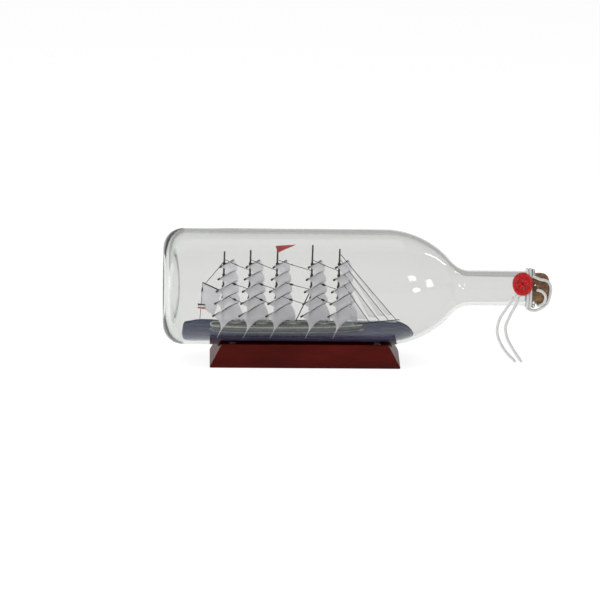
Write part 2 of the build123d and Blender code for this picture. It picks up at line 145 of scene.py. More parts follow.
class Shape:
    """Points and faces gathered for one mesh, in millimetres."""

    def __init__(self):
        self.points = []
        self.faces = []

    def add(self, points, faces):
        start = len(self.points)
        self.points.extend(tuple(point) for point in points)
        self.faces.extend(tuple(start + index for index in face) for face in faces)

    def loops(self, rings, close_ends=True):
        """A skin over closed rings that all have the same number of points."""
        count = len(rings[0])
        faces = []
        for ring in range(len(rings) - 1):
            a = ring * count
            b = a + count
            for k in range(count):
                nxt = (k + 1) % count
                faces.append((a + k, a + nxt, b + nxt, b + k))
        if close_ends:
            last = (len(rings) - 1) * count
            faces.append(tuple(range(count - 1, -1, -1)))
            faces.append(tuple(range(last, last + count)))
        self.add([point for ring in rings for point in ring], faces)

    def close_with_points(self, first, last, count):
        """Closes a skin whose rings have that many points with a fan of faces to a point at each end."""
        end = len(self.points)
        start = end - count
        self.faces += [(end, k, (k + 1) % count) for k in range(count)]
        self.faces += [(end + 1, start + (k + 1) % count, start + k) for k in range(count)]
        self.points += [first, last]

    def tube(self, path, radius, sides=8):
        """A round tube along a path, whose radius may vary from point to point."""
        path = np.asarray(path, float)
        radii = np.broadcast_to(np.asarray(radius, float), (len(path),))
        side, up = frames_along(path)
        rings = []
        for point, r, s, u in zip(path, radii, side, up):
            turns = [2 * math.pi * k / sides for k in range(sides)]
            rings.append([point + r * (math.cos(t) * s + math.sin(t) * u) for t in turns])
        self.loops(rings)

    def ring(self, centre, normal, radius, tube_r, steps, sides):
        """A torus."""
        axis = Vector(normal).normalized()
        side = axis.orthogonal().normalized()
        up = axis.cross(side)
        faces = []
        points = []
        for i in range(steps):
            turn = 2 * math.pi * i / steps
            out = math.cos(turn) * side + math.sin(turn) * up
            for k in range(sides):
                tilt = 2 * math.pi * k / sides
                offset = (radius + tube_r * math.cos(tilt)) * out + tube_r * math.sin(tilt) * axis
                points.append(Vector(centre) + offset)
                a = i * sides + k
                b = i * sides + (k + 1) % sides
                c = ((i + 1) % steps) * sides
                faces.append((a, c + k, c + (k + 1) % sides, b))
        self.add(points, faces)

    def rope(self, path, radius):
        """Three twisted strands laid along a path."""
        pitch = 4.6
        strands = 3
        path = np.asarray(path, float)
        side, up = frames_along(path)
        steps = np.linalg.norm(np.diff(path, axis=0), axis=1)
        distance = np.concatenate([[0], np.cumsum(steps)])
        strand_r = 0.56 * radius
        for strand in range(strands):
            turn = 2 * math.pi * (distance / pitch + strand / strands)
            offset = np.cos(turn)[:, None] * side + np.sin(turn)[:, None] * up
            self.tube(path + (radius - strand_r) * offset, strand_r)

    def sheet(self, grid):
        """A single skin over a grid of points, rows by columns."""
        columns = len(grid[0])
        faces = []
        for i in range(len(grid) - 1):
            for j in range(columns - 1):
                a = i * columns + j
                faces.append((a, a + 1, a + columns + 1, a + columns))
        self.add([point for row in grid for point in row], faces)

    def make(self, name, look, node=None, body="bottle"):
        """Makes the mesh object, in metres, and rides it on a body. It may stand in for a CAD node."""
        mesh = bpy.data.meshes.new(name)
        mesh.from_pydata([tuple(MM * c for c in point) for point in self.points], [], self.faces)
        outward = bmesh.new()
        outward.from_mesh(mesh)
        bmesh.ops.recalc_face_normals(outward, faces=outward.faces)
        outward.to_mesh(mesh)
        outward.free()
        mesh.polygons.foreach_set("use_smooth", [True] * len(mesh.polygons))
        mesh.materials.append(look)
        made = add_object(name, mesh)
        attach(made, body)
        if node:
            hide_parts(node)
        return made


def frames_along(path):
    """Two directions square to the path at each of its points, without twist."""
    tangents = np.gradient(path, axis=0)
    tangents /= np.linalg.norm(tangents, axis=1)[:, None]
    start = np.array(Vector(tangents[0]).orthogonal().normalized())
    sides = [start]
    for tangent in tangents[1:]:
        turned = sides[-1] - tangent * (sides[-1] @ tangent)
        sides.append(turned / np.linalg.norm(turned))
    sides = np.array(sides)
    return sides, np.cross(tangents, sides)


def smooth_path(points, step):
    """Evenly spaced points along a smooth curve through the given ones."""
    p = np.array([tuple(point) for point in points], float)
    p = np.vstack([2 * p[0] - p[1], p, 2 * p[-1] - p[-2]])
    dense = []
    for i in range(1, len(p) - 2):
        before, a, b, after = p[i - 1], p[i], p[i + 1], p[i + 2]
        for t in np.linspace(0, 1, 24, endpoint=False):
            cubic = (3 * a - before - 3 * b + after) * t**3
            square = (2 * before - 5 * a + 4 * b - after) * t**2
            dense.append(a + 0.5 * ((b - before) * t + square + cubic))
    dense = np.array(dense + [p[-2]])
    run = np.concatenate([[0], np.cumsum(np.linalg.norm(np.diff(dense, axis=0), axis=1))])
    at = np.linspace(0, run[-1], max(3, int(run[-1] / step) + 1))
    return np.column_stack([np.interp(at, run, dense[:, k]) for k in range(3)])


def around(x, angle, radius):
    """A point at a radius from the bottle's axis, at an angle in degrees above the front."""
    turn = math.radians(angle)
    return Vector((x, -radius * math.cos(turn), axis_z + radius * math.sin(turn)))


def grid_of(rows, columns, place):
    """Points from a function of the shares, 0 to 1, of the way down the rows and along the columns."""
    return [[place(i / rows, j / columns) for j in range(columns + 1)] for i in range(rows + 1)]


def make_sheet(name, grid, look, node, thickness):
    """A thin piece made from a grid, with its thickness to both sides."""
    shape = Shape()
    shape.sheet(grid)
    piece = shape.make(name, look, node)
    solid = piece.modifiers.new("thickness", "SOLIDIFY")
    solid.thickness = thickness * MM
    solid.offset = 0


def make_hem(name, lines, look, radius):
    """Rope sewn along a sail's edges."""
    hem = Shape()
    for line in lines:
        hem.tube([tuple(point) for point in line], radius, 6)
    hem.make(name, look)


def finish_node(node, look, edge=0.0):
    """Gives a CAD node its material, and rounds its sharp edges by a width."""
    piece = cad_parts[node]
    piece.data.materials.clear()
    piece.data.materials.append(look)
    if edge:
        rounding = piece.modifiers.new("rounded_edges", "BEVEL")
        rounding.width = edge * MM
        rounding.segments = 2
        rounding.limit_method = "ANGLE"
        rounding.harden_normals = True


def ripple(x, y, z):
    """Smooth noise between -1 and 1."""
    return noise.noise(Vector((x, y, z)))


def ridge(value, centre, width):
    """1 at a centre, falling smoothly to 0 on both sides of it."""
    return math.exp(-(((value - centre) / width) ** 2))


# ---- materials


class Nodes:
    """A node tree to be filled, with short ways to add what the materials and the world share."""

    def __init__(self, owner):
        owner.use_nodes = True
        self.tree = owner.node_tree
        self.tree.nodes.clear()

    def node(self, kind, inputs=None, **settings):
        made = self.tree.nodes.new(kind)
        for setting, value in settings.items():
            setattr(made, setting, value)
        for socket, value in (inputs or {}).items():
            self.feed(made.inputs[socket], value)
        return made

    def feed(self, socket, value):
        if isinstance(value, bpy.types.NodeSocket):
            self.tree.links.new(value, socket)
        else:
            socket.default_value = value

    def math(self, operation, *values):
        return self.node("ShaderNodeMath", dict(enumerate(values)), operation=operation).outputs[0]

    def ramp(self, factor, *stops, steps=False):
        """Colours or greys between stops of (place, value), blended or in steps."""
        ramp = self.node("ShaderNodeValToRGB", {"Fac": factor})
        elements = ramp.color_ramp.elements
        if steps:
            ramp.color_ramp.interpolation = "CONSTANT"
        for index, (place, value) in enumerate(stops):
            element = elements[index] if index < 2 else elements.new(place)
            element.position = place
            element.color = (value,) * 3 + (1.0,) if isinstance(value, float) else (*value, 1.0)
        return ramp.outputs["Color"]


class Look(Nodes):
    """A procedural material. Its textures are placed by the piece's own position, in millimetres."""

    def __init__(self, name, **inputs):
        self.material = bpy.data.materials.new(name)
        super().__init__(self.material)
        self.output = self.node("ShaderNodeOutputMaterial")
        self.surface = self.node("ShaderNodeBsdfPrincipled")
        for socket, value in inputs.items():
            self.set(socket.replace("_", " ").title(), value)
        self.show(self.surface.outputs[0])
        self.position = self.node("ShaderNodeTexCoord").outputs["Object"]

    def set(self, socket, value):
        """Sets or links an input of the surface shader."""
        names = {"Ior": "IOR", "Specular Ior Level": "Specular IOR Level"}
        entry = self.surface.inputs[names.get(socket, socket)]
        if entry.type == "RGBA" and isinstance(value, tuple):
            value = (*value, 1.0)
        self.feed(entry, value)

    def show(self, shader):
        self.tree.links.new(shader, self.output.inputs["Surface"])

    def scaled(self, scale):
        """The position times a scale per millimetre, one number or one for each axis."""
        axes = scale if isinstance(scale, tuple) else (scale,) * 3
        factors = tuple(axis / MM for axis in axes)
        scaling = self.node("ShaderNodeVectorMath", {0: self.position, 1: factors}, operation="MULTIPLY")
        return scaling.outputs[0]

    def noise(self, scale, detail=4.0, roughness=0.55, distortion=0.0):
        inputs = {
            "Vector": self.scaled(scale),
            "Scale": 1.0,
            "Detail": detail,
            "Roughness": roughness,
            "Distortion": distortion,
        }
        return self.node("ShaderNodeTexNoise", inputs).outputs["Fac"]

    def cells(self, scale):
        """The distance to the nearest of scattered points."""
        inputs = {"Vector": self.scaled(scale), "Scale": 1.0}
        return self.node("ShaderNodeTexVoronoi", inputs).outputs["Distance"]

    def wave(self, scale, distortion=0.0, direction="X"):
        inputs = {"Vector": self.scaled(scale), "Scale": 1.0, "Distortion": distortion, "Detail": 2.0}
        return self.node("ShaderNodeTexWave", inputs, bands_direction=direction).outputs["Fac"]

    def axis(self, name):
        """One coordinate of the position, in millimetres."""
        return self.node("ShaderNodeSeparateXYZ", {0: self.scaled(1.0)}).outputs[name]

    def mix(self, factor, a, b):
        """A colour between two. The mix node has sockets 6, 7 and, coming out, 2 for colours."""
        mixed = self.node("ShaderNodeMix", data_type="RGBA")
        for index, value in ((0, factor), (6, a), (7, b)):
            if isinstance(value, tuple):
                value = (*value, 1.0)
            self.feed(mixed.inputs[index], value)
        return mixed.outputs[2]

    def bump(self, height, depth, strength):
        """Relief of a depth in millimetres."""
        inputs = {"Height": height, "Distance": depth * MM, "Strength": strength}
        self.set("Normal", self.node("ShaderNodeBump", inputs).outputs[0])

    def let_light_in(self, shader, tint):
        """Lets lamps and bounced light pass straight through, so that what is inside is lit."""
        path = self.node("ShaderNodeLightPath")
        straight = self.math("MAXIMUM", path.outputs["Is Shadow Ray"], path.outputs["Is Diffuse Ray"])
        clear = self.node("ShaderNodeBsdfTransparent", {"Color": (*tint, 1.0)})
        mixed = self.node("ShaderNodeMixShader", {0: straight, 1: shader, 2: clear.outputs[0]})
        self.show(mixed.outputs[0])


def glass_look():
    look = Look("clear_glass", base_color=(0.835, 0.833, 0.828), roughness=0.0, ior=1.5,
                transmission_weight=1.0, specular_tint=(0.3, 0.3, 0.3))
    ripples = look.noise((0.012, 0.06, 0.06), detail=2.0)
    seeds = look.ramp(look.cells(0.11), (0.0, 1.0), (0.035, 0.0))
    look.bump(look.mix(0.06, ripples, seeds), 0.20, 0.20)
    look.let_light_in(look.surface.outputs[0], (0.99, 0.99, 0.99))
    green = look.node("ShaderNodeVolumeAbsorption", {"Color": (0.50, 0.72, 0.50, 1.0), "Density": 14.0})
    look.tree.links.new(green.outputs[0], look.output.inputs["Volume"])
    return look.material


def silicone_look():
    look = Look("clear_silicone", base_color=(0.86, 0.87, 0.86), ior=1.41, transmission_weight=0.9)
    look.set("Roughness", look.ramp(look.noise(1.5), (0.3, 0.12), (0.7, 0.32)))
    look.let_light_in(look.surface.outputs[0], (0.85, 0.86, 0.85))
    return look.material


def mahogany_look():
    """Red-stained wood with its grain along the stand, under a glossy lacquer."""
    look = Look("lacquered_mahogany", coat_weight=0.12, coat_roughness=0.12, specular_ior_level=0.05)
    figure = look.noise((0.012, 0.055, 0.055), detail=4.0, distortion=0.5)
    pores = look.noise((0.06, 1.6, 1.6), detail=3.0)
    body = look.ramp(figure, (0.28, (0.040, 0.0019, 0.0008)), (0.50, (0.066, 0.0032, 0.0014)),
                     (0.75, (0.096, 0.0052, 0.0024)))
    dark_pores = look.ramp(pores, (0.36, 1.0), (0.50, 0.0))
    look.set("Base Color", look.mix(look.math("MULTIPLY", dark_pores, 0.30), body, (0.012, 0.0015, 0.001)))
    look.set("Roughness", look.ramp(pores, (0.3, 0.55), (0.7, 0.35)))
    look.bump(look.mix(0.3, pores, look.noise(0.35)), 0.05, 0.35)
    return look.material


def cork_look():
    look = Look("cork", roughness=0.85, specular_ior_level=0.25)
    grain = look.noise(0.42, detail=6.0)
    body = look.ramp(grain, (0.30, (0.070, 0.032, 0.012)), (0.52, (0.190, 0.102, 0.048)),
                     (0.74, (0.350, 0.225, 0.130)))
    specks = look.ramp(look.cells(0.75), (0.10, 1.0), (0.26, 0.0))
    look.set("Base Color", look.mix(specks, body, (0.030, 0.014, 0.008)))
    look.bump(look.mix(0.5, grain, look.cells(0.75)), 0.30, 0.7)
    return look.material


def cord_look():
    look = Look("white_cord", roughness=0.8, specular_ior_level=0.25, subsurface_weight=0.12)
    look.set("Subsurface Radius", (0.0006, 0.0005, 0.0004))
    fibres = look.noise(5.0, detail=3.0)
    dirt = look.noise(0.20, detail=3.0)
    clean = look.ramp(fibres, (0.3, (0.58, 0.575, 0.57)), (0.7, (0.74, 0.735, 0.73)))
    look.set("Base Color", look.mix(look.ramp(dirt, (0.45, 0.0), (0.80, 0.30)), clean, (0.62, 0.58, 0.55)))
    look.bump(fibres, 0.12, 0.7)
    return look.material


def wax_look():
    look = Look("red_wax", roughness=0.34, specular_ior_level=0.2, subsurface_weight=0.15, coat_weight=0.06,
                coat_roughness=0.2)
    look.set("Subsurface Radius", (0.0015, 0.0004, 0.0003))
    mottle = look.noise(0.55, detail=5.0)
    look.set("Base Color", look.ramp(mottle, (0.32, (0.230, 0.0025, 0.0040)), (0.52, (0.450, 0.0045, 0.0060)),
                                     (0.75, (0.620, 0.0120, 0.0140))))
    look.set("Roughness", look.ramp(look.noise(1.3), (0.3, 0.28), (0.7, 0.55)))
    look.bump(look.noise(1.1, detail=5.0), 0.22, 0.8)
    return look.material


def sea_look():
    """Blue putty, streaked by the tool, with foam where the mesh carries it."""
    look = Look("sea_putty", specular_ior_level=0.12)
    streaks = look.noise((0.10, 0.42, 0.42), detail=5.0, distortion=0.8)
    body = look.ramp(streaks, (0.30, (0.016, 0.024, 0.062)), (0.52, (0.030, 0.042, 0.100)),
                     (0.78, (0.056, 0.074, 0.155)))
    foam = look.node("ShaderNodeAttribute", attribute_name="foam").outputs["Fac"]
    broken = look.math("MULTIPLY", foam, look.ramp(look.noise(0.9, detail=5.0), (0.35, 0.35), (0.62, 1.0)))
    look.set("Base Color", look.mix(broken, body, (0.78, 0.80, 0.82)))
    look.set("Roughness", look.ramp(look.noise(0.6), (0.3, 0.22), (0.7, 0.5)))
    look.bump(look.noise((0.5, 1.1, 1.1), detail=5.0), 0.25, 0.8)
    return look.material


def hull_look():
    """Pale silvery paint over planks, dark below the waterline, with painted shade fading up from the
    waterline over 1.3 mm where the hull meets the sea.
    """
    look = Look("hull_paint", roughness=0.32, metallic=0.15, coat_weight=0.3)
    wear = look.noise((0.10, 0.6, 0.9), detail=5.0)
    pale = look.ramp(wear, (0.30, (0.105, 0.120, 0.105)), (0.70, (0.280, 0.300, 0.275)))
    height = look.axis("Z")
    # Painted shade: the pale paint darkens towards the waterline over the lowest 1.3 mm above the sea, where
    # the hull meets the sea.
    low = look.node("ShaderNodeMapRange", {0: height, 1: axis_z + sea_level, 2: axis_z + sea_level + 1.3})
    look.set("Base Color", look.mix(low.outputs[0], (0.050, 0.062, 0.055), pale))
    look.bump(look.wave((0.0, 0.0, 1.6), 0.4, "Z"), 0.10, 0.6)
    return look.material


def rail_look():
    look = Look("rail_paint", roughness=0.4, coat_weight=0.2)
    wear = look.noise(0.8, detail=5.0)
    look.set("Base Color", look.ramp(wear, (0.28, (0.26, 0.27, 0.25)), (0.55, (0.58, 0.60, 0.57))))
    look.bump(wear, 0.08, 0.5)
    return look.material


def deck_look():
    """Dark stained planks running fore and aft, with caulked seams."""
    look = Look("deck_paint", roughness=0.5)
    grain = look.noise((0.12, 1.8, 1.8), detail=5.0)
    wood = look.ramp(grain, (0.3, (0.020, 0.017, 0.014)), (0.7, (0.075, 0.062, 0.048)))
    seams = look.ramp(look.wave((0.0, 0.28, 0.0), 0.0, "Y"), (0.02, 1.0), (0.10, 0.0))
    look.set("Base Color", look.mix(seams, wood, (0.006, 0.006, 0.006)))
    look.bump(look.mix(0.5, grain, seams), 0.08, 0.5)
    return look.material


def house_look():
    look = Look("house_paint", roughness=0.45)
    wear = look.noise(0.7, detail=5.0)
    look.set("Base Color", look.ramp(wear, (0.3, (0.10, 0.105, 0.095)), (0.7, (0.30, 0.31, 0.28))))
    look.bump(look.wave((0.7, 0.0, 0.0), 0.2), 0.06, 0.5)
    return look.material


def spar_look():
    look = Look("black_spar", roughness=0.5, coat_weight=0.15, coat_roughness=0.3)
    grain = look.noise((1.4, 1.4, 0.35), detail=5.0)
    look.set("Base Color", look.ramp(grain, (0.3, (0.006, 0.006, 0.007)), (0.75, (0.035, 0.033, 0.034))))
    look.set("Roughness", look.ramp(grain, (0.3, 0.35), (0.7, 0.65)))
    look.bump(grain, 0.06, 0.7)
    return look.material


def cloth_look(name, dark, light, glow, seam_scale, clear=0.0):
    """Thin woven cloth with sewn panels, that lets some light through."""
    look = Look(name, roughness=0.75, specular_ior_level=0.2, sheen_weight=0.1)
    weave = look.math("MULTIPLY", look.wave((1.9, 1.9, 0.0), 0.3, "Y"), look.wave((0.0, 0.0, 2.4), 0.3, "Z"))
    stain = look.noise(0.16, detail=4.0)
    seams = look.ramp(look.wave(seam_scale, 0.0, "Y"), (0.0, 1.0), (0.05, 0.0))
    body = look.ramp(stain, (0.3, dark), (0.7, light))
    shade = tuple(0.72 * part for part in dark)
    look.set("Base Color", look.mix(look.math("MULTIPLY", seams, 0.5), body, shade))
    look.bump(look.mix(0.35, weave, look.noise(1.2, detail=4.0)), 0.10, 0.5)
    through = look.node("ShaderNodeBsdfTranslucent", {"Color": look.mix(0.5, body, light)})
    mixed = look.node("ShaderNodeMixShader", {0: glow, 1: look.surface.outputs[0], 2: through.outputs[0]})
    if clear:
        air = look.node("ShaderNodeBsdfTransparent")
        mixed = look.node("ShaderNodeMixShader", {0: clear, 1: mixed.outputs[0], 2: air.outputs[0]})
    look.show(mixed.outputs[0])
    return look.material


def ensign_look():
    """Three plain stripes, dark over white over red."""
    look = Look("ensign_stripes", roughness=0.7)
    low, high = node_box("ensign")
    place = look.node("ShaderNodeMapRange", {0: look.axis("Z"), 1: low.z, 2: high.z}).outputs[0]
    stripes = look.ramp(place, (0.0, (0.60, 0.045, 0.045)), (0.34, (0.78, 0.78, 0.80)),
                        (0.67, (0.018, 0.020, 0.040)), steps=True)
    worn = look.mix(look.ramp(look.noise(1.5), (0.4, 0.0), (0.9, 0.3)), stripes, (0.5, 0.48, 0.47))
    look.set("Base Color", worn)
    look.bump(look.wave((2.5, 0.0, 2.5), 0.3), 0.05, 0.5)
    return look.material


def thread_look():
    look = Look("dark_thread", roughness=0.8)
    twist = look.noise(6.0, detail=2.0)
    look.set("Base Color", look.ramp(twist, (0.3, (0.006, 0.006, 0.007)), (0.7, (0.022, 0.021, 0.022))))
    look.bump(twist, 0.05, 0.7)
    return look.material


# ---- bottle


def arc(centre, radius, start, end, steps):
    """Profile points (x, r) on an arc. Angles are in degrees from the bottle's axis."""
    turns = [math.radians(start + (end - start) * k / steps) for k in range(steps + 1)]
    return [(centre[0] + radius * math.cos(t), centre[1] + radius * math.sin(t)) for t in turns]


def straight(start, end, steps):
    """Profile points between two points, without the first and last."""
    shares = [k / steps for k in range(1, steps)]
    return [(start[0] + (end[0] - start[0]) * s, start[1] + (end[1] - start[1]) * s) for s in shares]


def dome(x, depth, radius):
    """The pushed-up middle of the base, from the axis out to its rim."""
    steps = 16
    rs = [radius * k / steps for k in range(steps + 1)]
    return [(x + depth * (1 - (r / radius) ** 2) ** 0.85, r) for r in rs]


heel_steps = 22
side_steps = 26
shoulder_steps = 28
throat_steps = 16


def body_profile(base, heel, radius, inset):
    """From the heel to the foot of the neck, inset by nothing outside and by the wall inside."""
    points = arc((base + heel, radius - heel), heel, 180, 90, heel_steps)
    points += straight((base + heel, radius), (shoulder_x, radius), side_steps)
    points += arc((shoulder_x, shoulder_drop), shoulder_r - inset, 90, shoulder_end, shoulder_steps)
    points += arc((throat_x, throat_rise), throat_r + inset, 180 + shoulder_end, 270, throat_steps)[1:]
    return points


def outer_profile():
    points = dome(base_x, punt_depth, punt_r)
    points += body_profile(base_x, heel_r, body_r, 0.0)
    points += straight((throat_x, neck_r), (lip_x, neck_r), 12)
    points += [(lip_x - 0.25, neck_r), (lip_x, neck_r + 0.2)]
    points += arc((lip_x + lip_edge, lip_r - lip_edge), lip_edge, 180, 90, 6)
    points += arc((mouth_x - lip_edge, lip_r - lip_edge), lip_edge, 90, 0, 6)
    return points


def inner_profile():
    points = dome(inner_base_x, 0.7 * punt_depth, inner_r - inner_heel_r)
    points += body_profile(inner_base_x, inner_heel_r, inner_r, wall)[1:]
    points += straight((throat_x, neck_r - wall), (cork_low.x, bore_r), 10)
    points += [(cork_low.x, bore_r)]
    points += straight((cork_low.x, bore_r), (mouth_x, bore_r), 6)
    points += [(mouth_x - 0.3, bore_r), (mouth_x, bore_r + 0.3)]
    return points


def make_bottle(look):
    """The bottle turned about its axis, with the slight unevenness of blown glass."""
    turns = 224
    unevenness = 0.10
    outside = outer_profile()
    inside = inner_profile()
    shape = Shape()
    rings = []
    for profile, phase, is_inside in ((outside, 0.0, False), (inside[::-1], 40.0, True)):
        for x, r in profile:
            if r < 0.01:
                continue
            ring = []
            for k in range(turns):
                angle = 360 * k / turns
                turn = math.radians(angle)
                wobble = ripple(0.021 * x + phase, 1.1 * math.cos(turn), 1.1 * math.sin(turn))
                if is_inside:
                    # The inside only widens, which keeps it clear of the cork and the sea.
                    wobble = 0.6 * abs(wobble)
                ring.append(around(x, angle, r + unevenness * wobble * min(1.0, r / body_r) ** 2))
            rings.append(ring)
    shape.loops(rings, close_ends=False)
    shape.close_with_points((outside[0][0], 0, axis_z), (inside[0][0], 0, axis_z), turns)
    shape.make("bottle_glass", look, "bottle")


# ---- cork, cord and seal


def make_cork(look):
    """A cork stopper whose side and end are pitted."""
    shape = Shape()
    bore = bore_r - 0.08
    edge = 6.0
    pit_depth = 0.9
    profile = [(cork_low.x, bore - 1.0), (cork_low.x + 0.3, bore - 0.3), (cork_low.x + 1.0, bore)]
    profile += straight((cork_low.x + 1.0, bore), (mouth_x + 0.1, bore), 30)
    profile += [(mouth_x + 0.12, bore), (mouth_x + 0.15, cork_r - 0.5), (mouth_x + 0.5, cork_r)]
    profile += straight((mouth_x + 0.5, cork_r), (cork_high.x - edge, cork_r), 14)
    profile += arc((cork_high.x - edge, cork_r - edge), edge, 90, 0, 26)
    profile += straight((cork_high.x, cork_r - edge), (cork_high.x, 0.4), 16)
    turns = 150
    rings = []
    for x, r in profile:
        ring = []
        for k in range(turns):
            angle = 360 * k / turns
            spot = around(x, angle, r)
            pit = max(0.0, noise.noise(spot * 0.55) - 0.22) + 0.6 * max(0.0, noise.noise(spot * 1.3) - 0.25)
            shrink = pit_depth * pit if x > mouth_x + 0.3 else 0.0
            if r < cork_r - edge:
                ring.append(around(x - shrink, angle, max(0.3, r)))
            else:
                ring.append(around(x, angle, max(0.3, r - shrink)))
        rings.append(ring)
    shape.loops(rings)
    shape.make("cork_stopper", look, "cork", "cork")


turn_r = neck_r + cord_r + 0.05
turn_xs = [lip_x - cord_r - 0.05 - turn * (2 * cord_r + 0.05) for turn in range(2)]
over_turns = turn_r + 2 * cord_r + 0.15
over_lip = lip_r + cord_r + 0.15
over_cork = cork_r + cord_r + 0.15
tail_y = node_box("cord_tail_left")[0].y + cord_r

# The two loops over the cork's end. Each point is an x, an angle above the front and a radius.
loop_spots = [
    [
        (175.4, 47, over_turns), (178.6, 43, over_lip - 0.3), (181.6, 43, over_cork + 0.5),
        (184.8, 42, over_cork), (187.9, 37, 11.4), (189.6, 15, 8.9), (188.8, -26, 10.5),
        (187.1, -56, 12.6), (184.0, -75, 14.6), (181.4, -82, 16.3), (177.6, -88, 17.6),
        (173.4, -100, 17.6), (171.2, -116, over_turns),
    ],
    [
        (178.9, 9, over_lip - 0.2), (181.4, 6, over_cork + 0.6), (184.0, -2, over_cork + 0.1),
        (185.6, -18, 12.8), (184.8, -40, over_cork), (182.0, -64, over_cork + 0.1),
        (180.6, -96, over_cork + 0.2), (180.6, -130, over_cork + 0.5), (178.4, -146, over_lip),
        (175.2, -151, over_turns), (172.6, -152, over_turns),
    ],
]

lead_r = neck_r + cord_r + 0.08
lead_paths = [
    [
        (161.0, tail_y, axis_z - 3.2),
        around(163.6, 0, lead_r),
        around(166.8, 9, lead_r),
        around(170.0, 15, lead_r),
    ],
    [(165.3, tail_y, axis_z - 3.2), around(167.1, -3, lead_r), around(170.0, 5, lead_r)],
]

# Each loose end's path in x and height
tail_points = {
    "left": [(160.3, -4.1), (157.4, -9.5), (150.4, -20.6), (148.4, -31.0), (151.2, -40.2), (156.2, -48.0),
             (162.2, -54.1)],
    "right": [(164.6, -4.1), (162.4, -10.2), (158.0, -18.7), (154.9, -27.8), (156.7, -37.1), (161.5, -45.9),
              (166.9, -53.9)],
}


def fray(shape, end, direction):
    """Loose fibres spreading from a cord's cut end."""
    count = 16
    length = 1.9
    bundle_r = 0.45
    fibre_r = 0.10
    root = 0.5

    def any_way():
        return Vector((dice.uniform(-1, 1), dice.uniform(-1, 1), dice.uniform(-1, 1)))

    for _ in range(count):
        spread = any_way()
        start = Vector(end) + spread * bundle_r
        aim = (Vector(direction) + 0.55 * spread).normalized()
        curl = any_way() * 0.5
        reach = length * dice.uniform(0.5, 1.0)
        path = [start - aim * root, start + aim * reach * 0.5, start + aim * reach + curl]
        shape.tube(smooth_path(path, 0.3), fibre_r, 5)


def make_cords(look):
    turns = Shape()
    for x in turn_xs:
        path = [around(x, angle, turn_r) for angle in range(-92, 270, 4)]
        turns.rope(path, rope_r)
    for path in lead_paths:
        turns.rope(smooth_path(path, 0.35), rope_r)
    turns.make("neck_cord_rope", look, "neck_cord_turns")

    loops = Shape()
    for spots in loop_spots:
        loops.rope(smooth_path([around(*spot) for spot in spots], 0.4), rope_r)
    loops.make("cork_cord_rope", look, "cork_cord_loops", "cork")

    for side, points in tail_points.items():
        path = smooth_path([(x, tail_y, axis_z + h) for x, h in points], 0.35)
        tail = Shape()
        tail.rope(path, rope_r)
        fray(tail, path[-1], path[-1] - path[-4])
        name = f"cord_tail_{side}"
        tail.make(f"{name}_rope", look, name, f"tail_{side}")


def make_seal(look):
    """A pressed wax disc with a raised lip, a ring and a plain eight-pointed star."""
    turn = math.radians(seal_angle)
    out = Vector((0, -math.cos(turn), math.sin(turn)))
    across = Vector((1, 0, 0))
    up = out.cross(across) * -1
    centre = Vector((seal_x, 0, axis_z))
    rings = 44
    turns = 120
    thickness = seal_front - seal_back
    field_height = 0.70 * thickness
    star_height = 0.42
    star_reach = 0.48
    ring_height = 0.24
    ring_place = 0.56
    lip_height = 0.30 * thickness
    lip_place = 0.74
    edge_start = 0.80
    grid = []
    for i in range(1, rings + 1):
        share = i / rings
        ring = []
        for k in range(turns):
            angle = 2 * math.pi * k / turns
            along, aside = math.cos(angle), math.sin(angle)
            uneven = 1 + 0.035 * ripple(1.3 * along, 1.3 * aside, 5.0)
            uneven += 0.015 * ripple(4 * along, 4 * aside, 9.0)
            drop = max(0.0, (share - edge_start) / (1 - edge_start)) ** 1.6
            star = abs(math.cos(4 * angle)) ** 3 * max(0.0, 1 - share / star_reach) ** 0.7
            height = field_height + star_height * star + ring_height * ridge(share, ring_place, 0.022)
            height += lip_height * ridge(share, lip_place, 0.085) - 0.88 * thickness * drop
            height += 0.16 * ripple(5 * share * along, 5 * share * aside, 2.0)
            plan = 0.97 * min(1.0, share / 0.86) * uneven * (1 + 0.02 * math.sin(math.pi * drop))
            flat = across * (seal_half_width * plan * along) + up * (seal_half_height * plan * aside)
            ring.append(centre + flat + out * (seal_back + height))
        grid.append(ring)
    shape = Shape()
    shape.loops(grid, close_ends=False)
    flat_back = [point - out * ((point - centre).dot(out) - seal_back) for point in grid[-1]]
    shape.loops([grid[-1], flat_back], close_ends=False)
    count = len(shape.points)
    shape.points.append(tuple(centre + out * (seal_back + field_height + star_height)))
    shape.faces += [(count, k, (k + 1) % turns) for k in range(turns)]
    shape.faces.append(tuple(range(count - turns, count)))
    shape.make("wax_seal_disc", look, "wax_seal")


# ---- sea


def glass_inner_r(x):
    """The bottle's inner radius at x."""
    heel_end = inner_base_x + inner_heel_r
    if x < heel_end:
        return inner_r - inner_heel_r + math.sqrt(max(0.0, inner_heel_r**2 - (heel_end - x) ** 2))
    if x < shoulder_x:
        return inner_r
    return shoulder_drop + math.sqrt((shoulder_r - wall) ** 2 - (x - shoulder_x) ** 2)


def hull_half_breadth(x):
    """Half the ship's breadth at deck level."""
    share = (x - stern_x) / (bow_x - stern_x)
    places = [-0.02, 0.0, 0.12, 0.30, 0.50, 0.65, 0.80, 0.90, 1.0]
    breadths = [0.0, 0.62, 0.92, 0.985, 1.0, 0.94, 0.74, 0.45, 0.02]
    return half_beam * float(np.interp(share, places, breadths))


def sea_top(x, y, half):
    """Height of the putty above the bottle's axis: swells, and a climb where it meets the glass."""
    past = max(0.0, (x - sea_slope_x) / (sea_high.x - sea_slope_x))
    swell = 0.34 * ripple(0.055 * x, 0.16 * y, 3.0) + 0.22 * ripple(0.17 * x, 0.33 * y, 8.0)
    chop = 0.12 * ripple(0.5 * x, 0.8 * y, 1.0)
    edge = max(0.0, (abs(y) / max(half, 1.0) - 0.80) / 0.20)
    climb = 0.9 * edge**1.5 if y > 0 else 0.35 * edge**1.5
    return sea_level - 0.25 - sea_slope_drop * past**1.4 + swell + chop + climb


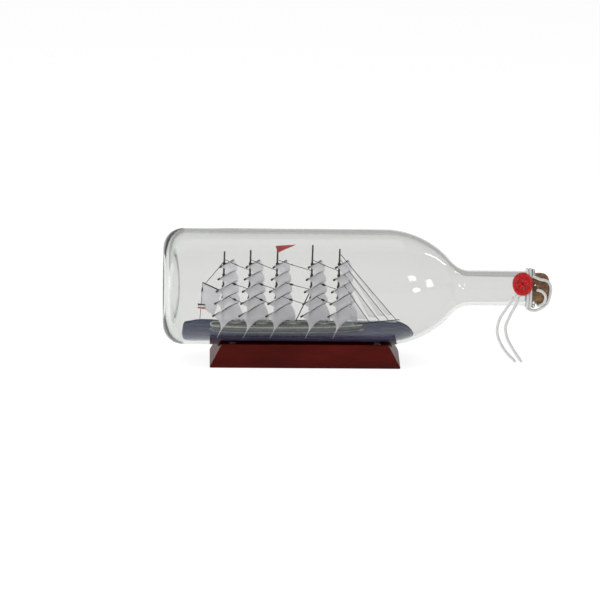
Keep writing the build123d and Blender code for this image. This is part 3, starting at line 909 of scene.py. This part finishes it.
def make_sea(look):
    """Putty pressed into the bottle, gripping the glass below and worked into waves on top.

    Its cross-sections are bunched at the ends, and there is foam along the hull and on the far shore.
    """
    stations = 260
    columns = 54
    below = 40
    bunching = 0.9
    end_round = 4.0
    end_narrowing = 0.12
    end_drop = 0.45
    aft_rise = 12.0
    wash_width = 1.0
    shore_width = 1.6
    shore_start, shore_end = 28, 72
    aft, fore = sea_low.x, sea_high.x - 0.4
    rings = []
    foams = []
    for i in range(stations + 1):
        turn = 2 * math.pi * i / stations
        x = aft + (fore - aft) * (turn - bunching * math.sin(turn)) / (2 * math.pi)
        near_end = min(x - aft, fore - x)
        lost = end_round - math.sqrt(max(0.0, end_round**2 - max(0.0, end_round - near_end) ** 2))
        radius = glass_inner_r(x) - putty_gap
        level = sea_level - sea_slope_drop * max(0.0, (x - sea_slope_x) / (fore - sea_slope_x)) ** 1.4
        half = math.sqrt(max(1.0, (radius - 0.02) ** 2 - level**2))
        for corner_r, from_end in ((sea_aft_corner, x - aft), (sea_fore_corner, fore - x)):
            short = max(0.0, corner_r - from_end)
            half = min(half, sea_half_width - corner_r + math.sqrt(max(0.0, corner_r**2 - short**2)))
        half = max(0.6, half * (1 - end_narrowing * lost))
        from_aft = min(aft_rise, x - aft)
        raised = 0.40 * (aft_rise - math.sqrt(aft_rise**2 - (aft_rise - from_aft) ** 2))
        ring = []
        foam = []
        for j in range(columns + 1):
            y = -half + 2 * half * j / columns
            top = sea_top(x, y, half) - end_drop * lost
            floor = -math.sqrt(max(0.0, radius**2 - y**2)) + raised
            ring.append((x, y, axis_z + max(top, floor + 0.05)))
            side = abs(y) - hull_half_breadth(x)
            wash = ridge(max(0.0, side), 0.0, wash_width) if stern_x - 3 < x < bow_x + 1.5 else 0.0
            shore = ridge(y, half - 0.6, shore_width) if shore_start < x < shore_end else 0.0
            foam.append(min(1.0, 0.55 * wash + 1.1 * shore))
        for j in range(1, below):
            y = half - 2 * half * j / below
            depth = math.sqrt(max(0.0, radius**2 - y**2))
            ring.append((x, y, axis_z - depth + raised))
            foam.append(0.0)
        rings.append(ring)
        foams += foam
    shape = Shape()
    shape.loops(rings)
    sea = shape.make("sea_waves", look, "sea")
    layer = sea.data.attributes.new("foam", "FLOAT", "POINT")
    layer.data.foreach_set("value", foams)


# ---- ship


class Mast:
    """A mast's line and its yards, read from the frame."""

    def __init__(self, name):
        low, high = node_box(f"{name}_mast")
        self.foot = Vector((low.x + mast_foot_r, 0, low.z))
        self.head = Vector((high.x - mast_head_r, 0, high.z))
        yards_low, yards_high = node_box(f"{name}_yards")
        middle_z = (yards_low.z + yards_high.z) / 2
        self.tier_zs = [middle_z + (tier - 2) * tier_rise for tier in range(5)]
        self.lowest_yard = (yards_low + yards_high) / 2

    def share(self, z):
        """How far up the mast a height is, from 0 at the foot to 1 at the head."""
        return (z - self.foot.z) / (self.head.z - self.foot.z)

    def at(self, z):
        """The mast's centre at a height."""
        return self.foot + (self.head - self.foot) * self.share(z)

    def radius(self, z):
        return mast_foot_r + (mast_head_r - mast_foot_r) * self.share(z)

    def yard(self, tier):
        """The middle of one of its yards."""
        z = self.tier_zs[tier]
        lean = self.at(z) - self.at(self.tier_zs[0])
        return Vector((self.lowest_yard.x + lean.x, self.lowest_yard.y, z))


masts = {name: Mast(name) for name in mast_names}


def square_sail_grid(mast, tier, seed):
    """A billowed sail: hollow sides, an arched foot and soft creases running to its lower corners."""
    yard = masts[mast].yard(tier)
    is_course = tier == 0
    low = node_box(f"{mast}_{tier_names[tier]}")[0].z
    below_yard = 0.35 if tier < 2 else -0.40
    drop = yard.z - below_yard - low
    head_half = 0.46 * tier_lengths[tier]
    foot_half = 24.5 if is_course else 0.45 * tier_lengths[tier - 1]
    bulge = 6.3 if is_course else 4.8
    foot_ahead = 3.9 if is_course else 2.4
    arch = 6.8 if is_course else 1.3
    hollow = 2.6
    start = yard_r + 0.3
    mean = start + (foot_ahead - start) * 0.5

    def place(w, s):
        u = 2 * s - 1
        half = head_half + (foot_half - head_half) * w - hollow * 4 * w * (1 - w)
        belly = (bulge - mean) * math.sin(math.pi * w**0.92) * (1 - 0.22 * u * u)
        belly -= 0.5 * w * (1 - abs(u)) if is_course else 0.0
        crease = 0.16 * math.sin(7 * u + 5 * w + seed) * w * (1 - 0.6 * w)
        crease += 0.22 * ripple(1.6 * u, 1.6 * w, seed)
        out = start + (foot_ahead - start) * w + belly + crease * min(1.0, 6 * w)
        lift = arch * (1 - u * u) * w**2.2 - below_yard - drop * w
        return yard + yard_along * (u * half) + sail_forward * out + Vector((0, 0, lift))

    return grid_of(30, 40, place)


def edges_of(grid):
    """A grid's four edges, as lines of points."""
    return [grid[0], grid[-1], [row[0] for row in grid], [row[-1] for row in grid]]


def make_square_sails(look, bolt_look):
    seed = 0.0
    for mast in mast_names:
        for tier, tier_name in enumerate(tier_names):
            seed += 1.7
            grid = square_sail_grid(mast, tier, seed)
            name = f"{mast}_{tier_name}"
            make_sheet(f"{name}_sail", grid, look, name, sail_thickness)
            make_hem(f"{name}_boltrope", edges_of(grid), bolt_look, 0.11)


def make_spars(look):
    """The CAD spars, with lashings where a mast and a yard cross."""
    mast_band_r = 0.30
    yard_band_r = 0.16
    link_r = 0.32
    for node in ("bowsprit", "gaff"):
        finish_node(node, look)
    for mast in mast_names:
        finish_node(f"{mast}_mast", look)
        finish_node(f"{mast}_yards", look)
        made = masts[mast]
        shape = Shape()
        for tier in range(len(tier_lengths)):
            yard = made.yard(tier)
            mid = made.at(yard.z)
            around_mast = made.radius(yard.z) + 0.28
            for lift in (-0.55, 0.0, 0.55):
                shape.ring(made.at(yard.z + lift), (0.02, 0, 1), around_mast, mast_band_r, 16, 8)
            for shift in (-0.6, 0.6):
                shape.ring(yard + yard_along * shift, yard_along, yard_r + 0.10, yard_band_r, 14, 6)
            link = [mid, (mid + yard) / 2 + Vector((0, 0, 0.2)), yard]
            shape.tube(smooth_path(link, 0.2), link_r)
        shape.make(f"{mast}_lashings", look)


bowsprit_low, bowsprit_high = node_box("bowsprit")


def bowsprit_top(x):
    """The upper side of the bowsprit at x."""
    share = (x - bowsprit_low.x) / (bowsprit_high.x - bowsprit_low.x)
    return Vector((x, 0, bowsprit_low.z + 1.2 + share * (bowsprit_high.z - bowsprit_low.z - 1.2)))


# Each jib stay's height on the fore mast and x on the bowsprit. Below, each mast stay's heights aft and fore.
jib_stays = [(6.5, 49.8), (14.4, 57.7), (21.5, 64.7), (25.8, 70.6)]
jib_widths = [13.0, 6.4, 5.8, 4.8]
jib_peaks = [0.62, 0.72, 0.78, 0.80]
jib_names = ["inner_jib", "main_jib", "outer_jib", "flying_jib"]
mast_stays = [(21.0, 13.0), (5.0, -2.0), (-6.5, -15.0)]


def on_mast(mast, h, side=0):
    """A point on a mast's surface at height h: in front with side 1, behind with side -1."""
    z = axis_z + h
    return masts[mast].at(z) + Vector((side * masts[mast].radius(z), 0, 0))


def sagging(start, end, sag):
    """A thread between two points that hangs slightly."""
    start, end = Vector(start), Vector(end)
    middle = (start + end) / 2 - Vector((0, 0, sag))
    return smooth_path([start, middle, end], 1.0)


def seizing(shape, line, share, thickness, length=3.4):
    """A spindle of thread wound round a line, at a share of its length."""
    middle = int(share * (len(line) - 1))
    along = line[middle + 1] - line[middle]
    along /= np.linalg.norm(along)
    steps = [k / 8 for k in range(-4, 5)]
    radii = [max(thread_r * 0.8, thickness * math.sqrt(1 - (2 * step) ** 2)) for step in steps]
    shape.tube([line[middle] + along * (length * step) for step in steps], radii)


def make_threads(look):
    stays = Shape()
    for h, foot_x in jib_stays:
        stays.tube(sagging(on_mast("fore", h, 1), bowsprit_top(foot_x), 0.15), thread_r, 6)
    for aft, fore in zip(mast_names[1:], mast_names[:-1]):
        for aft_h, fore_h in mast_stays:
            line = sagging(on_mast(aft, aft_h, 1), on_mast(fore, fore_h, -1), 0.3)
            stays.tube(line, thread_r, 6)
            seizing(stays, line, 0.45, 0.40 if aft_h > 10 else 0.85)
    stays.make("stay_lines", look, "stay_threads")

    halyards = Shape()
    gaff_peak = Vector((node_box("gaff")[0].x, 0, node_box("gaff")[1].z))
    halyards.tube(sagging(on_mast("jigger", 19, -1), gaff_peak + Vector((2.6, 0, -0.4)), 0.2), thread_r, 6)
    line_x = node_box("ensign")[0].x + 1.5
    ensign_line = sagging(gaff_peak, (line_x, 0, rail_top + 0.3), 0.1)
    halyards.tube(ensign_line, 0.8 * thread_r, 6)
    seizing(halyards, ensign_line, 0.20, 0.55, 4.5)
    halyards.tube(sagging(on_mast("main", -1.6), (-7.0, half_beam - 0.5, rail_top), 0.1), 1.5 * thread_r, 6)
    halyards.make("halyard_lines", look, "halyard_threads")


def triangle_grid(tack, peak, clew, belly):
    """A three-cornered sail with a belly to leeward."""

    def place(w, s):
        up = 0.985 * w
        curve = belly * 4 * s * (1 - s) * (1 - up) ** 0.8 + 0.05 * belly * math.sin(9 * up + 4 * s)
        return tack.lerp(peak, up).lerp(clew.lerp(peak, up), s) - Vector((0, curve, 0))

    return grid_of(24, 10, place)


def quad_grid(head_aft, head_fore, foot_fore, foot_aft, belly):
    """A four-cornered sail with a belly to leeward."""

    def place(w, s):
        curve = belly * math.sin(math.pi * s) * math.sin(math.pi * min(1.0, w + 0.12))
        return head_aft.lerp(foot_aft, w).lerp(head_fore.lerp(foot_fore, w), s) - Vector((0, curve, 0))

    return grid_of(22, 20, place)


def make_fore_and_aft_sails(look, spanker_look, bolt_look):
    """The jibs, each along its stay and just behind it, and the spanker under its gaff."""
    tack_share = 0.07
    behind_stay = Vector((0.35, 0, 0))
    for name, (mast_h, foot_x), width, peak_share in zip(jib_names, jib_stays, jib_widths, jib_peaks):
        head = on_mast("fore", mast_h, 1)
        foot = bowsprit_top(foot_x)
        tack = foot.lerp(head, tack_share) - behind_stay
        peak = foot.lerp(head, peak_share) - behind_stay
        clew = foot.lerp(head, tack_share) - Vector((width, 0, -0.12 * width))
        grid = triangle_grid(tack, peak, clew, 0.09 * width)
        make_sheet(f"{name}_sheet", grid, look, name, thin_sail_thickness)
        make_hem(f"{name}_boltrope", [[row[-1] for row in grid], grid[0]], bolt_look, 0.07)

    low, high = node_box("spanker_sail")
    head_aft = Vector((low.x + 1.5, 0, high.z))
    head_fore = Vector((high.x, 0, high.z - 6.5))
    foot_fore = Vector((high.x - 5.3, 0, low.z))
    foot_aft = Vector((low.x, 0, low.z + 7.0))
    grid = quad_grid(head_aft, head_fore, foot_fore, foot_aft, 1.3)
    make_sheet("spanker_sheet", grid, spanker_look, "spanker_sail", thin_sail_thickness)
    make_hem("spanker_boltrope", edges_of(grid), bolt_look, 0.08)


def make_pennant(look):
    """A long triangle that waves more towards its tip, on a slanted hoist."""
    low, high = node_box("pennant")
    hoist_height = high.z - 1.4 - low.z

    def place(w, t):
        s = 0.99 * t
        hoist_x = low.x + pennant_slant * (1 - w)
        x = hoist_x + (high.x - hoist_x) * s
        y = (low.y + high.y) / 2 + 0.55 * s * math.sin(7.5 * s + 0.6)
        z = (low.z + hoist_height * w) * (1 - s) + high.z * s
        return Vector((x, y, z + 0.25 * s * math.sin(5 * s)))

    make_sheet("pennant_cloth", grid_of(10, 36, place), look, "pennant", flag_thickness)


def make_ensign(look):
    low, high = node_box("ensign")

    def place(w, s):
        y = (low.y + high.y) / 2 + 0.30 * math.sin(6.5 * s) * (0.4 + 0.6 * s)
        z = low.z + 0.5 + (high.z - low.z - 0.6) * w - 0.5 * s
        return Vector((low.x + (high.x - low.x) * s, y, z))

    make_sheet("ensign_cloth", grid_of(14, 18, place), look, "ensign", flag_thickness)


def make_stanchions(look):
    """Posts along both sides, joined by a top rail."""
    shape = Shape()
    count = 36
    top = rail_top + 1.0
    set_in = 0.35
    post_height = 1.1
    post_r = 0.10
    top_rail_r = 0.11
    for side in (-1, 1):
        line = []
        for k in range(count + 1):
            x = stern_x + 1.2 + (bow_x - 5.5 - stern_x) * k / count
            y = side * (hull_half_breadth(x) - set_in)
            line.append((x, y, top))
            shape.tube([(x, y, top - post_height), (x, y, top - 0.5), (x, y, top)], post_r, 6)
        shape.tube(smooth_path(line, 1.2), top_rail_r, 6)
    shape.make("deck_stanchions", look)


def make_boats(look):
    """Four pairs of ship's boats, keel down above the deck."""
    shape = Shape()
    half_length, half_width, depth, off_centre, above_deck = 2.6, 0.85, 0.9, 4.6, 2.6
    for x in (-54.0, -33.5, -9.5, 14.5):
        for side in (-1, 1):
            rings = []
            for i in range(13):
                s = -1 + i / 6
                half = half_width * math.sqrt(max(0.03, 1 - s * s))
                z = deck_top + above_deck + 0.35 * s * s
                ring = []
                for k in range(16):
                    turn = 2 * math.pi * k / 16
                    y = side * off_centre + half * math.cos(turn)
                    ring.append((x + half_length * s, y, z - depth * half * max(0.0, -math.sin(turn))))
                rings.append(ring)
            shape.loops(rings)
    shape.make("ships_boats", look)


def make_coils(look):
    """Coils of line along the deck's middle, each with its place, size and height."""
    shape = Shape()
    line_r = 0.16
    coils = [(-63.0, 1.8, 0.7), (-38.8, 1.8, 0.6), (-20.0, 2.0, 0.7), (7.5, 1.8, 0.6), (27.0, 1.5, 0.7)]
    for x, size, height in coils:
        for level, grow in ((0.0, 1.0), (0.35, 0.86), (0.7, 0.55)):
            z = deck_top + 0.02 + height * level
            shape.ring((x, 0, z), (0, 0, 1), 0.7 * size * grow, line_r, 20, 6)
    shape.make("deck_coils", look)


# ---- studio


def make_floor():
    mesh = bpy.data.meshes.new("studio_floor")
    reach = 6.0
    corners = [(-reach, -reach, 0), (reach, -reach, 0), (reach, reach, 0), (-reach, reach, 0)]
    mesh.from_pydata(corners, [], [(0, 1, 2, 3)])
    look = Look("studio_white", roughness=0.9, base_color=(0.25, 0.25, 0.25), specular_ior_level=0.0,
                emission_color=(1.0, 1.0, 1.0), emission_strength=0.84)
    mesh.materials.append(look.material)
    add_object("studio_floor", mesh)


def soft_light(name, place, size, power, aim=(0.0, 0.0, 0.06)):
    """A rectangular soft box that shows in reflections but not to the camera."""
    data = bpy.data.lights.new(name, "AREA")
    data.shape = "RECTANGLE"
    data.size, data.size_y = size
    data.energy = power
    lamp = add_object(name, data)
    lamp.location = place
    lamp.rotation_mode = "QUATERNION"
    lamp.rotation_quaternion = (Vector(place) - Vector(aim)).to_track_quat("Z", "Y")
    lamp.visible_camera = False
    lamp.visible_transmission = False
    return lamp


def make_world():
    """A pale studio: white low down and behind the object, darker overhead and behind the camera."""
    world = bpy.data.worlds.new("studio")
    bpy.context.scene.world = world
    studio = Nodes(world)
    place = studio.node("ShaderNodeTexCoord").outputs["Generated"]
    split = studio.node("ShaderNodeSeparateXYZ", {0: place})
    to_back = studio.math("MULTIPLY_ADD", split.outputs["Y"], 0.5, 0.5)
    by_height = studio.ramp(split.outputs["Z"], (0.0, 1.0), (0.03, 0.66), (0.35, 0.66), (1.0, 0.62))
    by_side = studio.ramp(to_back, (0.0, 0.78), (0.28, 0.82), (0.55, 0.95), (1.0, 1.0))
    strength = studio.math("MULTIPLY", by_height, by_side)
    background = studio.node("ShaderNodeBackground", {"Strength": strength})
    studio.node("ShaderNodeOutputWorld", {0: background.outputs[0]})


def make_camera():
    """A long lens, almost level with the bottle, as a product photograph is taken."""
    azimuth = math.radians(-1.0)
    elevation = math.radians(14.0)
    roll = math.radians(0.63)
    target = Vector((-4.0, 0.0, 47.6)) * MM
    distance = 4.3
    back = Vector((
        math.sin(azimuth) * math.cos(elevation),
        -math.cos(azimuth) * math.cos(elevation),
        math.sin(elevation),
    ))
    data = bpy.data.cameras.new("camera")
    data.lens = 333.0
    data.sensor_width = 36.0
    data.clip_start, data.clip_end = 0.05, 60.0
    camera = add_object("camera", data)
    camera.location = target + distance * back
    camera.rotation_mode = "QUATERNION"
    camera.rotation_quaternion = back.to_track_quat("Z", "Y") @ Quaternion((0, 0, 1), roll)
    bpy.context.scene.camera = camera


def make_lights():
    fill = soft_light("front_fill", (-0.2, -2.2, 1.0), (2.4, 1.4), 16.0)
    fill.visible_glossy = False
    soft_light("top_box", (-0.1, 0.25, 1.25), (1.3, 0.7), 3.5)
    soft_light("left_box", (-1.25, -0.25, 0.45), (0.5, 0.9), 8.5)
    soft_light("right_box", (1.25, 0.15, 0.55), (0.5, 0.8), 0.5)
    # The small boxes stand about where the shoulder mirrors the camera's view to.
    shoulder = Vector((89.0, -30.0, axis_z)) * MM
    sight = Vector((0.762, -0.601, 0.238))
    reach = 1.15
    for name, lean, size, power in (
        ("glint_upper", Vector((-0.16, -0.06, 0.25)), (0.24, 0.22), 4.4),
        ("glint_middle", Vector((0.14, 0.18, 0.02)), (0.22, 0.30), 4.4),
        ("glint_lower", Vector((-0.16, -0.04, -0.15)), (0.20, 0.14), 2.6),
        ("glint_strip", Vector((-0.106, 1.085, 0.302)), (0.03, 0.42), 1.4),
    ):
        glint = soft_light(name, shoulder + (sight + lean) * reach, size, power, aim=shoulder)
        glint.visible_diffuse = False


def make_studio():
    make_floor()
    make_world()
    make_lights()
    make_camera()
    scene = bpy.context.scene
    scene.view_settings.view_transform = "Standard"
    scene.view_settings.look = "None"
    scene.cycles.caustics_reflective = False
    scene.cycles.caustics_refractive = False
    scene.cycles.max_bounces = 16
    scene.cycles.transmission_bounces = 16
    scene.cycles.transparent_max_bounces = 16


# ---- the whole

spar = spar_look()
thread = thread_look()
rail_paint = rail_look()
sail = cloth_look("sail_paper", (0.88, 0.86, 0.90), (0.98, 0.96, 0.99), 0.55, (0.0, 0.16, 0.0), 0.42)
thin_sail = cloth_look("jib_paper", (0.86, 0.84, 0.92), (0.97, 0.95, 0.99), 0.65, (0.12, 0.0, 0.0), 0.74)
spanker = cloth_look("spanker_paper", (0.84, 0.82, 0.88), (0.95, 0.93, 0.98), 0.60, (0.12, 0.0, 0.0), 0.50)
bolt_rope = cloth_look("bolt_rope", (0.55, 0.54, 0.56), (0.72, 0.71, 0.72), 0.1, (0.0, 0.9, 0.0))
red_cloth = cloth_look("pennant_red", (0.50, 0.040, 0.036), (0.66, 0.075, 0.060), 0.35, (0.3, 0.0, 0.0))

finish_node("stand", mahogany_look())
finish_node("bumper_pads", silicone_look())
make_bottle(glass_look())
make_cork(cork_look())
make_cords(cord_look())
make_seal(wax_look())
make_sea(sea_look())
finish_node("hull", hull_look())
finish_node("rail", rail_paint)
finish_node("deck", deck_look())
finish_node("deck_houses", house_look(), 0.15)
make_spars(spar)
make_square_sails(sail, bolt_rope)
make_fore_and_aft_sails(thin_sail, spanker, bolt_rope)
make_pennant(red_cloth)
make_ensign(ensign_look())
make_threads(thread)
make_stanchions(rail_paint)
make_boats(rail_paint)
make_coils(thread)
make_studio()

bpy.context.view_layer.update()
